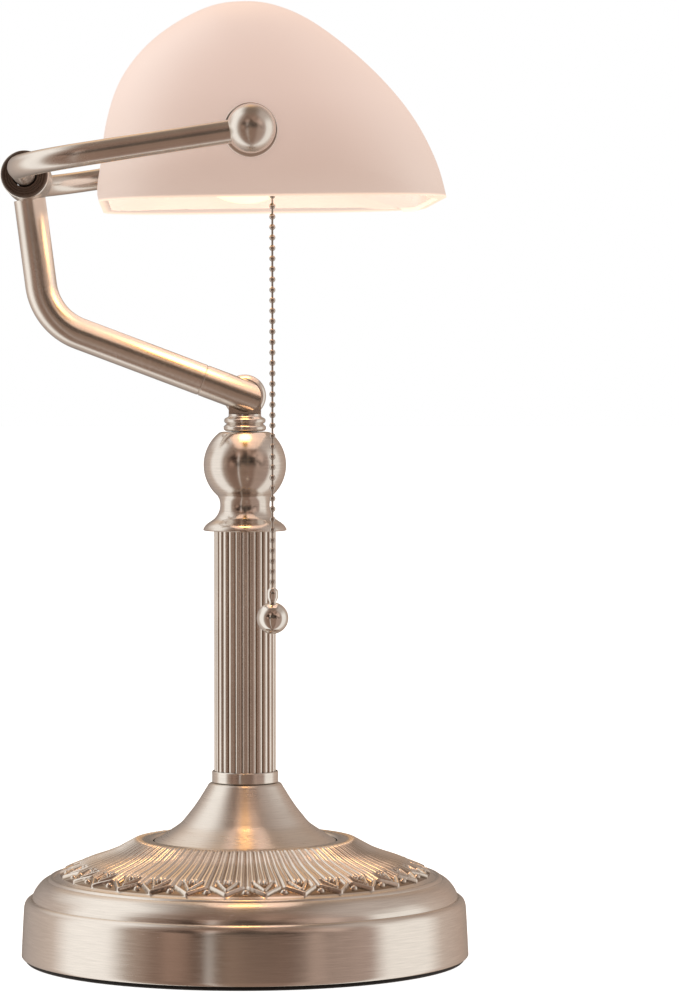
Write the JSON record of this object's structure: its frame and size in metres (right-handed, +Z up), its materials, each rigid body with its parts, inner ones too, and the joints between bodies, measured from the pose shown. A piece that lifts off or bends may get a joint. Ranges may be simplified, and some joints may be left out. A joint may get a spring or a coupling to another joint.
{
  "type": "banker desk lamp",
  "caption": "Desk lamp with a weighted round base, reeded column, tilting bent arm, U-shaped yoke and a turning half-round opal glass shade over a pull-chain lampholder",
  "frame": {"origin": "centre of the base's underside, on the column's axis", "axes": "+X along the shade away from the lampholder, +Y back towards the hub, +Z up"},
  "size_m": [0.2636, 0.1867, 0.3797],
  "materials": {
    "satin_nickel": "satin nickel plate",
    "polished_nickel": "bright nickel plate",
    "zinc_steel": "zinc plate",
    "brass": "drawn brass",
    "cast_iron": "as cast, painted",
    "black_foam": "closed-cell foam",
    "black_rubber": "moulded",
    "dark_nylon": "moulded satin",
    "phenolic": "moulded gloss",
    "fibre": "pressed paperboard",
    "opal_glass": "opal, frosted outside",
    "frosted_bulb": "frosted",
    "white_pvc": "extruded"
  },
  "bodies": {
    "stand": {"base_pad": "black_foam", "bottom_plate": "zinc_steel", "base_weight": "cast_iron", "base_shell": "satin_nickel", "cord_grommet": "black_rubber", "cone_cover": "satin_nickel", "threaded_rod": "zinc_steel", "rod_nut": "zinc_steel", "rod_washer": "zinc_steel", "ferrule": "satin_nickel", "column_tube": "satin_nickel", "vase": "satin_nickel", "swivel_neck": "satin_nickel", "knuckle_screw": "zinc_steel", "knuckle_spring_washer": "zinc_steel"},
    "arm": {"arm_knuckle": "satin_nickel", "lower_arm_tube": "satin_nickel", "hub_sleeve": "satin_nickel", "hub_bush_near": "dark_nylon", "hub_bush_far": "dark_nylon", "arm_lead": "white_pvc"},
    "yoke": {"yoke_tube_near": "satin_nickel", "yoke_tube_far": "satin_nickel", "yoke_joiner": "zinc_steel", "yoke_lead": "white_pvc", "yoke_ball_near": "satin_nickel", "yoke_ball_far": "satin_nickel", "shade_nipple_near": "zinc_steel", "shade_nipple_far": "zinc_steel", "ball_washer_near": "satin_nickel", "ball_washer_far": "satin_nickel", "retainer_nut": "brass", "socket_cap": "brass", "socket_shell": "brass", "socket_liner": "fibre", "socket_core": "phenolic", "socket_thread": "brass", "centre_contact": "brass", "chain_bell": "brass", "bulb_cap": "zinc_steel", "bulb_glass": "frosted_bulb"},
    "shade": {"glass_shade": "opal_glass", "outer_gasket_near": "black_rubber", "outer_gasket_far": "black_rubber", "inner_gasket_near": "black_rubber", "inner_gasket_far": "black_rubber"},
    "switch": {"switch_chain": "polished_nickel"},
    "chain": {"pull_chain": "polished_nickel", "chain_connector": "polished_nickel", "pull_ball": "polished_nickel"}
  },
  "joints": [
    {"name": "arm_tilt", "type": "hinge", "parent": "stand", "child": "arm", "pos_m": [0, 0, 0.227], "axis": [1, 0, 0], "range_deg": [-22, 25]},
    {"name": "yoke_tilt", "type": "hinge", "parent": "arm", "child": "yoke", "pos_m": [0, 0.0872, 0.3144], "axis": [1, 0, 0], "range_deg": [-60, 8]},
    {"name": "shade_turn", "type": "hinge", "parent": "yoke", "child": "shade", "pos_m": [0, 0, 0.328], "axis": [1, 0, 0], "range_deg": [-60, 45]},
    {"name": "chain_pull", "type": "slide", "parent": "yoke", "child": "switch", "axis": [0, 0, -1], "range_m": [0, 0.007], "stiffness_N_per_m": 500, "springref_m": -0.002},
    {"name": "chain_swing", "type": "hinge", "parent": "switch", "child": "chain", "pos_m": [-0.0798, -0.009, 0.3068], "axis": [1, 0, 0], "range_deg": [-12, 12]}
  ]
}
